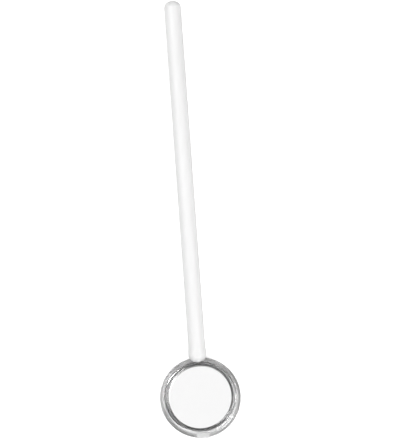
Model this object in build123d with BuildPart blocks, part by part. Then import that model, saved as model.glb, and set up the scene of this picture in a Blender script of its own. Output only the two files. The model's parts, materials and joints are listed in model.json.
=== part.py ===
"""Disposable dental mouth mirror, lying face up: a white moulded handle whose forked end grips a clear
round head, in which a flat glass mirror is held behind a lip.

Millimetres. +Y runs along the handle, from the head to the free end, +X is to the right of the head and
+Z is up, out of the mirror. The origin is on the surface that the mirror lies on, below the middle of its
length. The head leans back towards the handle, so the mirror faces the hand that holds it.
"""

import os
from math import cos, radians, sin

from build123d import *

# ---- Driving dimensions -------------------------------------------------------------------------------
overall_length = 145.6

handle_diameter = 5.6
handle_end_radius = 2.3  # rounding of the free end

head_diameter = 26.8
head_thickness = 4.2
head_lean = 10.0  # degrees between the mirror's face and the handle

glass_diameter = 22.6
glass_thickness = 1.5
glass_bevel = 0.2
coating_thickness = 0.05  # silvering and lacquer, each thicker than the real film
silver_diameter = 21.0
lacquer_margin = 0.25  # edge of the glass left bare below the lip
adhesive_diameter = 21.4
adhesive_thickness = 0.25
cover_thickness = 1.45

# ---- Frame section, mostly as (radius from the head's axis, height above its middle plane) ------------
lip_diameter = 20.9  # the part of the mirror that shows
lip_thickness = 0.7
lip_edge = 0.3  # upright part of the lip, below its rounding
bore_diameter = 22.8
bore_chamfer = 0.2
lip_round = (10.75, 1.9)
crest_radius = 11.4  # the highest circle of the front, where the lip's rounding ends
crest_fall = (11.85, 2.0)
groove = (12.1, 1.72)
shoulder_rise = (12.4, 1.72)
shoulder = (12.9, 1.4)
rim_round = (13.25, 0.98)
rim_top = 0.4  # the rim is a plain cylinder between these two heights
rim_bottom = -0.5
back_land_radius = 12.2  # outer edge of the flat back

gate_width = 4.4
gate_thickness = 1.3
gate_reach = 13.45  # from the head's centre to the sheared end of the gate
notch_radius = 11.7  # from the head's centre to the root of the notches above and below the gate
notch_corner = 0.5

# ---- Joint between the frame and the handle -----------------------------------------------------------
joint_radius = 12.4  # from the head's centre to where its middle plane is joined to the handle
nose_radius = 11.65  # from the head's centre to the tip of the handle's nose, which stays clear of the bore
nose_length = 2.9
fork_diameter = 6.0
flare_length = 3.4
fork_thickness = 5.2
fork_flat_length = 9.0
tongue_width = 3.2
tongue_thickness = 1.8
tongue_length = 9.0  # from the frame's rim into the handle
tongue_corner = 0.6

# ---- Ejector marks of the rear cover ------------------------------------------------------------------
ejector_count = 3
ejector_diameter = 1.8
ejector_depth = 0.1
ejector_circle = 7.2  # radius

# ---- Worked out ---------------------------------------------------------------------------------------
handle_radius = handle_diameter / 2
head_radius = head_diameter / 2
half_head = head_thickness / 2
lean = radians(head_lean)

bore_radius = bore_diameter / 2
lip_radius = lip_diameter / 2
glass_radius = glass_diameter / 2
lacquer_radius = glass_radius + coating_thickness
notch_length = head_radius + 1 - notch_radius

head_tip = gate_reach * cos(lean) + gate_thickness / 2 * sin(lean)  # how far the head reaches along -Y
free_end_y = overall_length / 2
head_y = head_tip - overall_length / 2
joint_y = head_y + joint_radius * cos(lean)
axis_z = handle_radius
# The lowest edge of the head's back is level with the underside of the handle.
joint_z = half_head * cos(lean) - (joint_radius - back_land_radius) * sin(lean)
head_z = joint_z + joint_radius * sin(lean)
nose_y = joint_y - (joint_radius - nose_radius) / cos(lean)
rim_y = joint_y + (head_radius - joint_radius) / cos(lean)

glass_front = half_head - lip_thickness
glass_back = glass_front - glass_thickness
silver_back = glass_back - coating_thickness
lacquer_back = silver_back - coating_thickness
adhesive_back = lacquer_back - adhesive_thickness

# The head's middle plane: its normal leans towards the handle.
head_plane = Plane(
    origin=(0, head_y, head_z),
    x_dir=(1, 0, 0),
    z_dir=(0, sin(lean), cos(lean)),
)
head_axis = Axis(head_plane.origin, head_plane.z_dir)
# A plane that holds the head's axis: radius along its x, height above the middle plane along its y.
section_plane = Plane(
    origin=head_plane.origin,
    x_dir=(1, 0, 0),
    z_dir=(0, -cos(lean), sin(lean)),
)
# The handle's plan, at the height of its axis, and the upright plane along it.
plan_plane = Plane.XY.offset(axis_z)
handle_axis = Axis((0, 0, axis_z), (0, 1, 0))
side_plane = Plane(origin=(0, 0, axis_z), x_dir=(0, 1, 0), z_dir=(1, 0, 0))


def disc(front, thickness, radius):
    """A flat round piece of the head, front being its height above the head's middle plane."""
    with BuildPart() as piece:
        with BuildSketch(head_plane.offset(front - thickness)):
            Circle(radius)
        extrude(amount=thickness)
    return piece.part


# ---- Frame ring, before the handle is let into it -----------------------------------------------------
with BuildPart() as ring:
    with BuildSketch(section_plane):
        with BuildLine():
            lip = Polyline(
                (bore_radius, glass_front),
                (lip_radius, glass_front),
                (lip_radius, glass_front + lip_edge),
            )
            lip_top = ThreePointArc(lip @ 1, lip_round, (crest_radius, half_head))
            inner_bead = ThreePointArc(lip_top @ 1, crest_fall, groove)
            outer_bead = ThreePointArc(inner_bead @ 1, shoulder_rise, shoulder)
            front_edge = ThreePointArc(outer_bead @ 1, rim_round, (head_radius, rim_top))
            rim = Line(front_edge @ 1, (head_radius, rim_bottom))
            back_edge = TangentArc(rim @ 1, (back_land_radius, -half_head), tangent=(0, -1))
            Polyline(
                back_edge @ 1,
                (bore_radius + bore_chamfer, -half_head),
                (bore_radius, -half_head + bore_chamfer),
                (bore_radius, glass_front),
            )
        make_face()
    revolve(axis=head_axis)
    # Vestige of the moulding gate, opposite the handle.
    with BuildSketch(Plane(head_plane.origin, x_dir=(1, 0, 0), z_dir=-head_plane.y_dir)):
        Rectangle(gate_width, gate_thickness)
    extrude(amount=gate_reach)
    with BuildSketch(head_plane.offset(-gate_thickness / 2)):
        Circle(bore_radius)
    extrude(amount=gate_thickness, mode=Mode.SUBTRACT)
    # Notches that leave the gate standing as a flat tab, the first in front of it, the second behind it.
    with BuildSketch(head_plane.offset(gate_thickness / 2)):
        with Locations((0, -notch_radius)):
            RectangleRounded(
                gate_width,
                notch_length,
                notch_corner,
                align=(Align.CENTER, Align.MAX),
            )
    extrude(amount=half_head, mode=Mode.SUBTRACT)
    with BuildSketch(head_plane.offset(-gate_thickness / 2)):
        with Locations((0, -notch_radius)):
            RectangleRounded(
                gate_width,
                notch_length,
                notch_corner,
                align=(Align.CENTER, Align.MAX),
            )
    extrude(amount=-half_head, mode=Mode.SUBTRACT)

# The slab of the frame that stays between the jaws of the fork, and the tongue that runs into the handle.
with BuildPart() as web:
    with BuildSketch(Plane.XY.offset(joint_z - tongue_thickness / 2)):
        with Locations((0, rim_y)):
            Rectangle(head_diameter, head_diameter)
    extrude(amount=tongue_thickness)
    add(ring.part, mode=Mode.INTERSECT)

with BuildPart() as tongue:
    with BuildSketch(Plane.XY.offset(joint_z - tongue_thickness / 2)):
        with Locations((0, joint_y)):
            Rectangle(
                tongue_width,
                rim_y + tongue_length - joint_y,
                align=(Align.CENTER, Align.MIN),
            )
    extrude(amount=tongue_thickness)
    tongue_end = tongue.faces().sort_by(Axis.Y)[-1]
    chamfer(tongue_end.edges().filter_by(Axis.Z), length=tongue_corner)

# ---- Handle -------------------------------------------------------------------------------------------
fork_radius = fork_diameter / 2
neck_y = nose_y + nose_length
flare_end_y = neck_y + flare_length
fork_cut = handle_diameter  # half the width of the cutters that flatten the fork

with BuildPart() as handle:
    with BuildSketch(plan_plane):
        with BuildLine():
            free_end = Line((0, free_end_y), (handle_radius - handle_end_radius, free_end_y))
            end_round = RadiusArc(
                free_end @ 1,
                (handle_radius, free_end_y - handle_end_radius),
                handle_end_radius,
            )
            rod = Line(end_round @ 1, (handle_radius, flare_end_y))
            Spline(
                rod @ 1,
                (fork_radius, neck_y),
                tangents=((0, -1), (0, -1)),
            )
            nose = EllipticalCenterArc(
                (0, neck_y),
                fork_radius,
                nose_length,
                start_angle=-90,
                arc_size=90,
            )
            Line(nose @ 0, free_end @ 0)
        make_face()
    revolve(axis=handle_axis)
    # The fork is a little flatter than the rod, above and below.
    with BuildSketch(side_plane):
        with BuildLine():
            slope = TangentArc(
                (nose_y + fork_flat_length, handle_radius),
                (nose_y, fork_thickness / 2),
                tangent=(-1, 0),
            )
            Polyline(
                slope @ 1,
                (nose_y - 1, fork_thickness / 2),
                (nose_y - 1, handle_diameter),
                (nose_y + fork_flat_length, handle_diameter),
                slope @ 0,
            )
        make_face()
        mirror(about=Plane.XZ)
    extrude(amount=fork_cut, both=True, mode=Mode.SUBTRACT)
    # The slot between the jaws and the mortise behind it, both filled by the frame.
    add(web.part, mode=Mode.SUBTRACT)
    add(tongue.part, mode=Mode.SUBTRACT)

handle.part.label = "handle"

# ---- Head frame ---------------------------------------------------------------------------------------
with BuildPart() as head_frame:
    add(ring.part)
    add(tongue.part)
    add(handle.part, mode=Mode.SUBTRACT)

head_frame.part.label = "head_frame"

# ---- Mirror and what lies behind it -------------------------------------------------------------------
with BuildPart() as mirror_glass:
    add(disc(glass_front, glass_thickness, glass_radius))
    chamfer(mirror_glass.edges().filter_by(GeomType.CIRCLE), length=glass_bevel)

mirror_glass.part.label = "mirror_glass"

with BuildPart() as silver_coating:
    add(disc(glass_back, coating_thickness, silver_diameter / 2))

silver_coating.part.label = "silver_coating"

# The lacquer covers the silvering, the bare back of the glass around it and the edge of the glass.
lacquer_top = glass_front - lacquer_margin
with BuildPart() as backing_lacquer:
    add(disc(lacquer_top, lacquer_top - lacquer_back, lacquer_radius))
    add(mirror_glass.part, mode=Mode.SUBTRACT)
    add(silver_coating.part, mode=Mode.SUBTRACT)

backing_lacquer.part.label = "backing_lacquer"

with BuildPart() as adhesive_disc:
    add(disc(lacquer_back, adhesive_thickness, adhesive_diameter / 2))

adhesive_disc.part.label = "adhesive_disc"

# ---- Rear cover ---------------------------------------------------------------------------------------
with BuildPart() as rear_cover:
    add(disc(adhesive_back, cover_thickness, bore_radius))
    cover_back = rear_cover.faces().sort_by(head_axis)[0]
    chamfer(cover_back.edges(), length=bore_chamfer)
    with BuildSketch(head_plane.offset(adhesive_back - cover_thickness)):
        with PolarLocations(ejector_circle, ejector_count, start_angle=-90):
            Circle(ejector_diameter / 2)
    extrude(amount=ejector_depth, mode=Mode.SUBTRACT)

rear_cover.part.label = "rear_cover"

# ---- Export -------------------------------------------------------------------------------------------
pieces = [
    handle,
    head_frame,
    mirror_glass,
    silver_coating,
    backing_lacquer,
    adhesive_disc,
    rear_cover,
]
os.makedirs("parts", exist_ok=True)
for piece in pieces:
    export_step(piece.part, f"parts/{piece.part.label}.step")
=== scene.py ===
"""Looks of the mouth mirror: materials, fine pieces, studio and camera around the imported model, in metres."""

import json
from math import atan2, cos, pi, radians, sin, sqrt

import bmesh
import bpy
from mathutils import Matrix, Vector


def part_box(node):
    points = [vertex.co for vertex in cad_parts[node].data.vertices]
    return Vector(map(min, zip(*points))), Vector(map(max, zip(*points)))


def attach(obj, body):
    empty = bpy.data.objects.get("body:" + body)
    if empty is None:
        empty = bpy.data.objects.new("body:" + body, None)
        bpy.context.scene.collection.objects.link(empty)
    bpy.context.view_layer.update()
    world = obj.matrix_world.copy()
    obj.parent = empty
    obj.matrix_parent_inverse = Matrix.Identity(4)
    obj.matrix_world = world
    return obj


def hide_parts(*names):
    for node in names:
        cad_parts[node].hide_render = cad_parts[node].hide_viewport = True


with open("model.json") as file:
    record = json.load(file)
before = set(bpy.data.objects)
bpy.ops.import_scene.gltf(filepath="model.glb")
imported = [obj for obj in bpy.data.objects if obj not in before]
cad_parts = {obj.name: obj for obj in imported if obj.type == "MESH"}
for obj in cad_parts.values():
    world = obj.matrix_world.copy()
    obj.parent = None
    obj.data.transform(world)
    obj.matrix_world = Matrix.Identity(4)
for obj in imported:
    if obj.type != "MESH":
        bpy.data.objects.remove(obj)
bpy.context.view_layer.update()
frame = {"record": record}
mm = 0.001

# ---- Studio and camera -------------------------------------------------------------------------------
camera_height = 0.75
view_height = 0.1481  # height of the floor that fits in the picture
view_turn = radians(4.1)  # the handle leans this far to the left in the picture
aim_right = 0.0041  # the picture's middle, from the object's
aim_down = 0.0008
sensor_height = 24.0

card_place = Vector((0, 0.36, 1.0))
card_size = 0.95
card_radiance = 0.85
key_direction = Vector((-0.6, 0.4, 1.1))
key_power = 3.5
fill_direction = Vector((0.7, -0.55, 1.0))
fill_power = 8.5
lamp_distance = 1.1
lamp_size = 0.5
surround_left = 0.75  # what the object reflects beyond the lamps, on the left and on the right
surround_right = 0.15
surround_fade = 0.6  # it changes where a direction's X is between minus this and 0
horizon = 0.92  # what the camera sees beyond the floor
floor_size = 3.0
floor_albedo = 0.8
floor_glow = 0.6  # towards the camera, which leaves only a trace of the shadows

# ---- Head section: (radius from the head's axis, height above its middle plane), millimetres ---------
half_head = 2.1
lip_radius = 10.45
lip_thickness = 0.7
lip_edge = 0.3
bore_radius = 11.4
bore_chamfer = 0.2
lip_round = (10.75, 1.9)
crest = (11.4, 2.1)
crest_fall = (11.85, 2.0)
groove = (12.1, 1.72)
shoulder_rise = (12.4, 1.72)
shoulder = (12.9, 1.4)
rim_round = (13.25, 0.98)
rim_top = (13.4, 0.4)
rim_bottom = (13.4, -0.5)
back_round = (13.067, -1.5)
back_land = (12.2, -2.1)
ring_segments = 540
# Waves round the ring, each as (size, number in a turn, phase), by which the crest and the groove
# wander across the band, and dip.
wander_waves = ((0.14, 2, 1.2), (0.05, 5, 0.4))
dip_waves = ((0.06, 4, 1.0), (0.025, 9, 0.3))
ring_ripple = 0.035  # relief of the plastic's skin

gate_width = 4.4
gate_thickness = 1.3
gate_reach = 13.45
notch_radius = 11.7
notch_length = 3.0
notch_corner = 0.5
tab_root = 12.7  # the tab starts inside the rim
tab_corner = 0.12
tab_side_gap = 0.03  # from the notches' planes, so that no faces coincide
tab_face_gap = 0.02

# ---- Mirror and rear cover, millimetres --------------------------------------------------------------
glass_radius = 11.3
glass_thickness = 1.5
glass_bevel = 0.2
coating_thickness = 0.05
silver_radius = 10.45
film_bevel = 0.01
silver_shift = (-0.12, 0.2)  # to the right and towards the handle
silver_room = 0.3  # room round the silvering in the lacquer, which takes up its shift
lacquer_radius = 11.34
lacquer_margin = 0.25  # edge of the glass left bare below the lip
adhesive_radius = 10.7
adhesive_thickness = 0.25
adhesive_bevel = 0.05
cover_radius = 11.38
cover_bevel = 0.15
cover_back = -1.9
cover_ripple = 0.006
ejector_count = 3
ejector_circle = 7.2
ejector_radius = 0.9
ejector_depth = 0.1
cutter_start = 1.0  # how far behind the cover its cutters begin
gap = 0.002  # clearance that keeps touching faces apart

# ---- Handle, millimetres -----------------------------------------------------------------------------
handle_radius = 2.8
handle_end_radius = 2.3
fork_radius = 3.0
flare_length = 3.4
nose_length = 2.9
fork_half_thickness = 2.6
fork_flat_length = 9.0
parting_ridge = 0.03
handle_segments = 144
end_steps = 18
flare_steps = 12

# ---- Places read from the frame ----------------------------------------------------------------------
head_mount = next(m for m in frame["record"]["mounts"] if m["name"] == "head_back")
head_up = -Vector(head_mount["axis"]).normalized()
head_right = Vector((1, 0, 0))
head_forward = head_up.cross(head_right)
glass_low, glass_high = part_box("mirror_glass")
glass_centre = (glass_low + glass_high) / 2
back_level = (Vector(head_mount["pos_m"]) - glass_centre).dot(head_up)
head_centre = glass_centre + head_up * (back_level + half_head * mm)
handle_low, handle_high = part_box("handle")

glass_front = half_head - lip_thickness
glass_back = glass_front - glass_thickness
silver_back = glass_back - coating_thickness
lacquer_back = silver_back - coating_thickness
adhesive_back = lacquer_back - adhesive_thickness


# ---- Materials ---------------------------------------------------------------------------------------
def new_material(name, **values):
    """A material whose Principled shader has these socket values, an underscore standing for each space."""
    material = bpy.data.materials.new(name)
    material.use_nodes = True
    shader = material.node_tree.nodes["Principled BSDF"]
    for socket, value in values.items():
        shader.inputs[socket.replace("_", " ")].default_value = value
    return material, material.node_tree, shader


def noise(tree, size, detail=2.0, stretch=(1, 1, 1)):
    """Cloudy pattern from 0 to 1 whose patches are about this size in millimetres, times the stretch."""
    place = tree.nodes.new("ShaderNodeTexCoord")
    scale = tree.nodes.new("ShaderNodeMapping")
    scale.inputs["Scale"].default_value = [1 / s for s in stretch]
    cloud = tree.nodes.new("ShaderNodeTexNoise")
    cloud.inputs["Scale"].default_value = 1 / (size * mm)
    cloud.inputs["Detail"].default_value = detail
    tree.links.new(place.outputs["Object"], scale.inputs["Vector"])
    tree.links.new(scale.outputs["Vector"], cloud.inputs["Vector"])
    return cloud.outputs["Fac"]


def spread(tree, pattern, low, high, start=0.3, end=0.7):
    """Pattern values from start to end, drawn out from low to high."""
    change = tree.nodes.new("ShaderNodeMapRange")
    change.inputs["From Min"].default_value = start
    change.inputs["From Max"].default_value = end
    change.inputs["To Min"].default_value = low
    change.inputs["To Max"].default_value = high
    tree.links.new(pattern, change.inputs["Value"])
    return change.outputs["Result"]


def tint(tree, shader, pattern, dark, light):
    """Base colour between two colours, by a pattern from 0 to 1."""
    mix = tree.nodes.new("ShaderNodeMix")
    mix.data_type = "RGBA"
    mix.inputs["A"].default_value = (*dark, 1)
    mix.inputs["B"].default_value = (*light, 1)
    tree.links.new(pattern, mix.inputs["Factor"])
    tree.links.new(mix.outputs["Result"], shader.inputs["Base Color"])


def bump(tree, shader, layers):
    """Relief of several patterns, each with its height in millimetres."""
    below = None
    for pattern, height in layers:
        relief = tree.nodes.new("ShaderNodeBump")
        relief.inputs["Strength"].default_value = 1.0
        relief.inputs["Distance"].default_value = height * mm
        tree.links.new(pattern, relief.inputs["Height"])
        if below:
            tree.links.new(below, relief.inputs["Normal"])
        below = relief.outputs["Normal"]
    tree.links.new(below, shader.inputs["Normal"])


def white_plastic():
    """Opaque satin moulding, with faint flow marks along the handle and fine rubbing."""
    material, tree, shader = new_material("white_plastic", IOR=1.49)
    flow = noise(tree, 1.6, 3.0, (1, 9, 1))
    grain = noise(tree, 0.12, 2.0)
    rub = noise(tree, 0.5, 4.0, (0.5, 14, 0.5))
    tint(tree, shader, spread(tree, flow, 0, 1), (0.765, 0.765, 0.762), (0.785, 0.785, 0.785))
    tree.links.new(spread(tree, rub, 0.33, 0.44), shader.inputs["Roughness"])
    bump(tree, shader, [(flow, 0.004), (grain, 0.0012)])
    return material


def clear_plastic(name, ripple):
    """Clear polished moulding, whose skin is a little rippled, by this height in millimetres."""
    material, tree, shader = new_material(name, Base_Color=(1, 1, 1, 1), IOR=1.59, Transmission_Weight=1.0)
    haze = noise(tree, 1.8, 3.0)
    tree.links.new(spread(tree, haze, 0.01, 0.05), shader.inputs["Roughness"])
    bump(tree, shader, [(noise(tree, 1.3, 1.0), ripple)])
    return material


def glass():
    """Float glass with the least trace of wiping."""
    material, tree, shader = new_material("glass", Base_Color=(1, 1, 1, 1), IOR=1.52, Transmission_Weight=1.0)
    wipe = noise(tree, 1.5, 3.0, (6, 1, 1))
    tree.links.new(spread(tree, wipe, 0.0, 0.012), shader.inputs["Roughness"])
    return material


def silver():
    """Bright reflecting film."""
    material, tree, shader = new_material("silver", Metallic=1.0)
    cloud = noise(tree, 3.0, 2.0)
    tint(tree, shader, spread(tree, cloud, 0, 1), (0.945, 0.945, 0.945), (0.955, 0.955, 0.955))
    tree.links.new(spread(tree, cloud, 0.01, 0.025), shader.inputs["Roughness"])
    return material


def lacquer():
    """Grey protective paint with a sprayed skin."""
    material, tree, shader = new_material("lacquer")
    speck = noise(tree, 0.35, 3.0)
    tint(tree, shader, spread(tree, speck, 0, 1), (0.20, 0.20, 0.205), (0.24, 0.24, 0.245))
    tree.links.new(spread(tree, speck, 0.42, 0.58), shader.inputs["Roughness"])
    bump(tree, shader, [(speck, 0.01)])
    return material


def adhesive():
    """Cured adhesive with small uneven patches."""
    material, tree, shader = new_material("adhesive", IOR=1.47)
    patch = noise(tree, 1.1, 3.0)
    tint(tree, shader, spread(tree, patch, 0, 1), (0.80, 0.80, 0.77), (0.90, 0.90, 0.88))
    tree.links.new(spread(tree, patch, 0.4, 0.6), shader.inputs["Roughness"])
    bump(tree, shader, [(patch, 0.03)])
    return material


def floor_paper():
    """Matt paper, which glows a little towards the camera."""
    material, tree, shader = new_material("floor_paper", Emission_Color=(1, 1, 1, 1))
    fibre = noise(tree, 0.6, 4.0)
    tint(tree, shader, spread(tree, fibre, 0, 1), (floor_albedo - 0.005,) * 3, (floor_albedo + 0.005,) * 3)
    tree.links.new(spread(tree, fibre, 0.86, 0.94), shader.inputs["Roughness"])
    path = tree.nodes.new("ShaderNodeLightPath")
    glow = tree.nodes.new("ShaderNodeMath")
    glow.operation = "MULTIPLY"
    glow.inputs[1].default_value = floor_glow
    tree.links.new(path.outputs["Is Camera Ray"], glow.inputs[0])
    tree.links.new(glow.outputs["Value"], shader.inputs["Emission Strength"])
    return material


# ---- Mesh tools --------------------------------------------------------------------------------------
def from_head(right, forward, up):
    """The point this many millimetres from the head's centre."""
    return head_centre + (head_right * right + head_forward * forward + head_up * up) * mm


def finish_mesh(piece, sharp=radians(30)):
    """Turns the faces outwards and shades them smoothly up to their sharp edges."""
    work = bmesh.new()
    work.from_mesh(piece.data)
    bmesh.ops.recalc_face_normals(work, faces=work.faces)
    for edge in work.edges:
        edge.smooth = len(edge.link_faces) == 2 and edge.calc_face_angle(0) < sharp
    for face in work.faces:
        face.smooth = True
    work.to_mesh(piece.data)
    work.free()


def skin(name, loops, closed=False):
    """A body over loops of points, each joined to the next. Its two ends are capped, or joined if closed."""
    count = len(loops[0])
    starts = [i * count for i in range(len(loops))]
    joined = starts + starts[:1] if closed else starts
    faces = [] if closed else [range(starts[0], count), range(starts[-1], starts[-1] + count)]
    for here, there in zip(joined, joined[1:]):
        for k in range(count):
            n = (k + 1) % count
            faces.append((here + k, here + n, there + n, there + k))
    mesh = bpy.data.meshes.new(name)
    mesh.from_pydata([point for loop in loops for point in loop], [], [tuple(face) for face in faces])
    piece = bpy.data.objects.new(name, mesh)
    bpy.context.scene.collection.objects.link(piece)
    finish_mesh(piece)
    return piece


def turned_ring(name, outline, segments, drift):
    """A ring round the head's axis, from a closed outline of (radius, height) whose points drift a little."""
    loops = []
    for i in range(segments):
        turn = 2 * pi * i / segments
        loop = []
        for radius, height in outline:
            radius, height = drift(turn, radius, height)
            loop.append(from_head(radius * cos(turn), radius * sin(turn), height))
        loops.append(loop)
    return skin(name, loops, closed=True)


def turned_disc(name, outline, middle=(0, 0), segments=360):
    """A solid round an upright axis: an outline of (radius, height), with a flat face at each of its ends."""
    turns = [2 * pi * i / segments for i in range(segments)]
    loops = [
        [from_head(middle[0] + radius * cos(t), middle[1] + radius * sin(t), height) for t in turns]
        for radius, height in outline
    ]
    return skin(name, loops)


def block(name, outline, low, high):
    """A block square to the mirror, from an outline of (right, forward) and two heights."""
    return skin(name, [[from_head(x, y, height) for x, y in outline] for height in (low, high)])


def combine(piece, other, operation):
    """Joins the other body to the piece, or takes it out, and removes the other body."""
    step = piece.modifiers.new("combine", "BOOLEAN")
    step.object = other
    step.operation = operation
    step.solver = "EXACT"
    bpy.context.view_layer.update()
    depsgraph = bpy.context.evaluated_depsgraph_get()
    result = bpy.data.meshes.new_from_object(piece.evaluated_get(depsgraph))
    piece.modifiers.clear()
    piece.data = result
    bpy.data.objects.remove(other)
    finish_mesh(piece)


def arc_through(a, b, c, steps=12):
    """Points of the circular arc from a through b to c, without a itself."""
    (ax, ay), (bx, by), (cx, cy) = a, b, c
    d = 2 * (ax * (by - cy) + bx * (cy - ay) + cx * (ay - by))
    ux = ((ax**2 + ay**2) * (by - cy) + (bx**2 + by**2) * (cy - ay) + (cx**2 + cy**2) * (ay - by)) / d
    uy = ((ax**2 + ay**2) * (cx - bx) + (bx**2 + by**2) * (ax - cx) + (cx**2 + cy**2) * (bx - ax)) / d
    radius = sqrt((ax - ux) ** 2 + (ay - uy) ** 2)
    start, through, end = (atan2(y - uy, x - ux) for x, y in (a, b, c))
    turn = (end - start) % (2 * pi)
    if (through - start) % (2 * pi) > turn:
        turn -= 2 * pi
    turns = [start + turn * i / steps for i in range(1, steps + 1)]
    return [(ux + radius * cos(t), uy + radius * sin(t)) for t in turns]


def rounded_rectangle(left, right, near, far, corner, steps=8):
    """Outline of a rectangle with rounded corners."""
    outline = []
    for x, y, start in (
        (right - corner, far - corner, 0),
        (left + corner, far - corner, 90),
        (left + corner, near + corner, 180),
        (right - corner, near + corner, 270),
    ):
        for i in range(steps + 1):
            t = radians(start + 90 * i / steps)
            outline.append((x + corner * cos(t), y + corner * sin(t)))
    return outline


def circle(x, y, radius, segments=48):
    """Outline of a circle."""
    turns = [2 * pi * i / segments for i in range(segments)]
    return [(x + radius * cos(t), y + radius * sin(t)) for t in turns]


def publish(piece, node, material):
    """Puts a fine piece in the place of its CAD node."""
    piece.data.materials.clear()
    piece.data.materials.append(material)
    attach(piece, "root")
    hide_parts(node)


# ---- Handle: a moulded rod whose end spreads a little and is rounded to a nose -----------------------
def handle_stations():
    """(place along the handle, radius) from the nose to the free end."""
    nose = handle_low.y / mm
    neck = nose + nose_length
    end = handle_high.y / mm - handle_end_radius
    stations = []
    for i in range(1, end_steps + 1):
        t = radians(90 * i / end_steps)
        stations.append((neck - nose_length * cos(t), fork_radius * sin(t)))
    for i in range(1, flare_steps + 1):
        share = i / flare_steps
        blend = share * share * (3 - 2 * share)
        stations.append((neck + flare_length * share, fork_radius + (handle_radius - fork_radius) * blend))
    for i in range(end_steps):
        t = radians(90 * i / end_steps)
        stations.append((end + handle_end_radius * sin(t), handle_radius - handle_end_radius * (1 - cos(t))))
    return stations


def handle_loop(along, radius):
    """One cross-section, flattened near the nose, with the mould's parting ridge on both sides."""
    level = handle_high.z / mm - handle_radius
    flat_end = handle_low.y / mm + fork_flat_length
    reach = max(0, flat_end - along) / fork_flat_length
    half = handle_radius - (handle_radius - fork_half_thickness) * reach**2
    loop = []
    for i in range(handle_segments):
        t = 2 * pi * i / handle_segments
        ridge = parting_ridge if i % (handle_segments // 2) == 0 else 0
        x = (radius + ridge) * cos(t)
        z = max(-half, min(half, radius * sin(t)))
        loop.append(Vector((x, along, level + z)) * mm)
    return loop


handle = skin("rod_handle", [handle_loop(*station) for station in handle_stations()])
publish(handle, "handle", white_plastic())


# ---- Clear ring --------------------------------------------------------------------------------------
def ring_outline():
    """Section of the ring: its lip, two beads with a groove between them, the rim and the back."""
    foot = (lip_radius, glass_front + lip_edge)
    outline = [(bore_radius, glass_front), (lip_radius, glass_front), foot]
    outline += arc_through(foot, lip_round, crest, steps=16)
    outline += arc_through(crest, crest_fall, groove)
    outline += arc_through(groove, shoulder_rise, shoulder)
    outline += arc_through(shoulder, rim_round, rim_top, steps=16)
    outline.append(rim_bottom)
    outline += arc_through(rim_bottom, back_round, back_land, steps=16)
    outline += [(bore_radius + bore_chamfer, -half_head), (bore_radius, -half_head + bore_chamfer)]
    return outline


def uneven(turn, radius, height):
    """The front of a moulded ring isn't quite even: its crest and groove wander across the band, and dip."""
    if height < 0 or (radius <= bore_radius and height <= glass_front):
        return radius, height
    share = (radius - lip_radius) / (rim_top[0] - lip_radius)
    middle = sin(pi * max(0, share))
    wander = sum(size * sin(count * turn + phase) for size, count, phase in wander_waves)
    dip = sum(size * (1 - sin(count * turn + phase)) for size, count, phase in dip_waves)
    return radius + middle * wander, height - middle * dip


ring = turned_ring("clear_ring", ring_outline(), ring_segments, uneven)
half_width = gate_width / 2
notch_end = notch_radius + notch_length
notch = rounded_rectangle(-half_width, half_width, -notch_end, -notch_radius, notch_corner)
half_gate = gate_thickness / 2
combine(ring, block("notch_above", notch, half_gate, half_gate + half_head), "DIFFERENCE")
combine(ring, block("notch_below", notch, -half_gate - half_head, -half_gate), "DIFFERENCE")
tab_half = half_width - tab_side_gap
tab = rounded_rectangle(-tab_half, tab_half, -gate_reach, -tab_root, tab_corner, steps=4)
combine(ring, block("gate_tab", tab, -half_gate + tab_face_gap, half_gate - tab_face_gap), "UNION")
publish(ring, "head_frame", clear_plastic("clear_plastic", ring_ripple))


# ---- Mirror, adhesive and rear cover -----------------------------------------------------------------
def disc_outline(front, back, radius, bevel):
    """Outline of a flat disc with bevelled edges, between two heights."""
    return [(radius - bevel, front), (radius, front - bevel), (radius, back + bevel), (radius - bevel, back)]


def lacquer_outline():
    """Behind the silvering, on the bare glass round it, and up the edge of the glass."""
    top = glass_front - lacquer_margin
    edge = glass_radius + gap
    inner = silver_radius + silver_room
    return [
        (inner, silver_back - gap),
        (inner + film_bevel, glass_back - gap),
        (glass_radius - glass_bevel, glass_back - gap),
        (edge, glass_back + glass_bevel),
        (edge, top),
        (lacquer_radius, top),
        (lacquer_radius, glass_back + glass_bevel),
        (glass_radius - glass_bevel, lacquer_back),
    ]


glass_outline = disc_outline(glass_front - gap, glass_back + gap, glass_radius, glass_bevel)
mirror = turned_disc("mirror_disc", glass_outline)
publish(mirror, "mirror_glass", glass())
film_outline = disc_outline(glass_back - gap, silver_back, silver_radius, film_bevel)
film = turned_disc("silvering", film_outline, silver_shift)
publish(film, "silver_coating", silver())
paint = turned_disc("lacquer_coat", lacquer_outline())
publish(paint, "backing_lacquer", lacquer())
glue_outline = disc_outline(lacquer_back - gap, adhesive_back, adhesive_radius, adhesive_bevel)
glue = turned_disc("adhesive_film", glue_outline)
publish(glue, "adhesive_disc", adhesive())

cover_outline = disc_outline(adhesive_back - gap, cover_back, cover_radius, cover_bevel)
cover = turned_disc("back_plate", cover_outline)
for i in range(ejector_count):
    t = 2 * pi * i / ejector_count - pi / 2
    mark = circle(ejector_circle * cos(t), ejector_circle * sin(t), ejector_radius)
    cutter = block("ejector_mark", mark, cover_back - cutter_start, cover_back + ejector_depth)
    combine(cover, cutter, "DIFFERENCE")
publish(cover, "rear_cover", clear_plastic("cover_plastic", cover_ripple))

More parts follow.
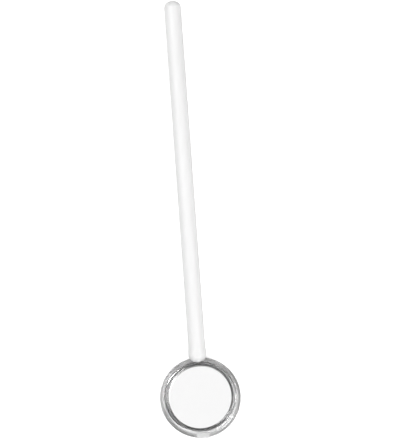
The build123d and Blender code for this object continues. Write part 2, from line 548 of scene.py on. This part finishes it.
# ---- Floor -------------------------------------------------------------------------------------------
half = floor_size / 2
floor_mesh = bpy.data.meshes.new("floor")
corners = [(-half, -half, 0), (half, -half, 0), (half, half, 0), (-half, half, 0)]
floor_mesh.from_pydata(corners, [], [(0, 1, 2, 3)])
floor = bpy.data.objects.new("floor", floor_mesh)
floor_mesh.materials.append(floor_paper())
bpy.context.scene.collection.objects.link(floor)


# ---- Light -------------------------------------------------------------------------------------------
def area_light(name, place, size, power):
    """A soft square lamp that faces the object."""
    light = bpy.data.lights.new(name, "AREA")
    light.shape = "SQUARE"
    light.size = size
    light.energy = power
    lamp = bpy.data.objects.new(name, light)
    lamp.matrix_world = Matrix.Translation(place) @ place.to_track_quat("Z", "Y").to_matrix().to_4x4()
    bpy.context.scene.collection.objects.link(lamp)


card_power = card_radiance * pi * card_size**2
area_light("overhead_card", card_place, card_size, card_power)
area_light("key", key_direction.normalized() * lamp_distance, lamp_size, key_power)
area_light("fill", fill_direction.normalized() * lamp_distance, lamp_size, fill_power)

world = bpy.data.worlds.new("studio")
bpy.context.scene.world = world
world.use_nodes = True
tree = world.node_tree
background = tree.nodes["Background"]
background.inputs["Color"].default_value = (1, 1, 1, 1)
direction = tree.nodes.new("ShaderNodeTexCoord")
split = tree.nodes.new("ShaderNodeSeparateXYZ")
tree.links.new(direction.outputs["Generated"], split.inputs["Vector"])
side = spread(tree, split.outputs["X"], surround_left, surround_right, -surround_fade, 0)
side.node.interpolation_type = "SMOOTHSTEP"
path = tree.nodes.new("ShaderNodeLightPath")
mix = tree.nodes.new("ShaderNodeMix")
mix.data_type = "FLOAT"
mix.inputs["B"].default_value = horizon
tree.links.new(path.outputs["Is Camera Ray"], mix.inputs["Factor"])
tree.links.new(side, mix.inputs["A"])
tree.links.new(mix.outputs["Result"], background.inputs["Strength"])

# ---- Camera ------------------------------------------------------------------------------------------
picture_right = Vector((cos(view_turn), -sin(view_turn), 0))
picture_up = Vector((sin(view_turn), cos(view_turn), 0))
place = aim_right * picture_right - aim_down * picture_up + Vector((0, 0, camera_height))
lens = bpy.data.cameras.new("camera")
lens.sensor_fit = "VERTICAL"
lens.sensor_height = sensor_height
lens.lens = sensor_height * camera_height / view_height
lens.clip_end = 20
camera = bpy.data.objects.new("camera", lens)
camera.matrix_world = Matrix.Translation(place) @ Matrix.Rotation(-view_turn, 4, "Z")
bpy.context.scene.collection.objects.link(camera)
bpy.context.scene.camera = camera
bpy.context.scene.view_settings.view_transform = "Standard"
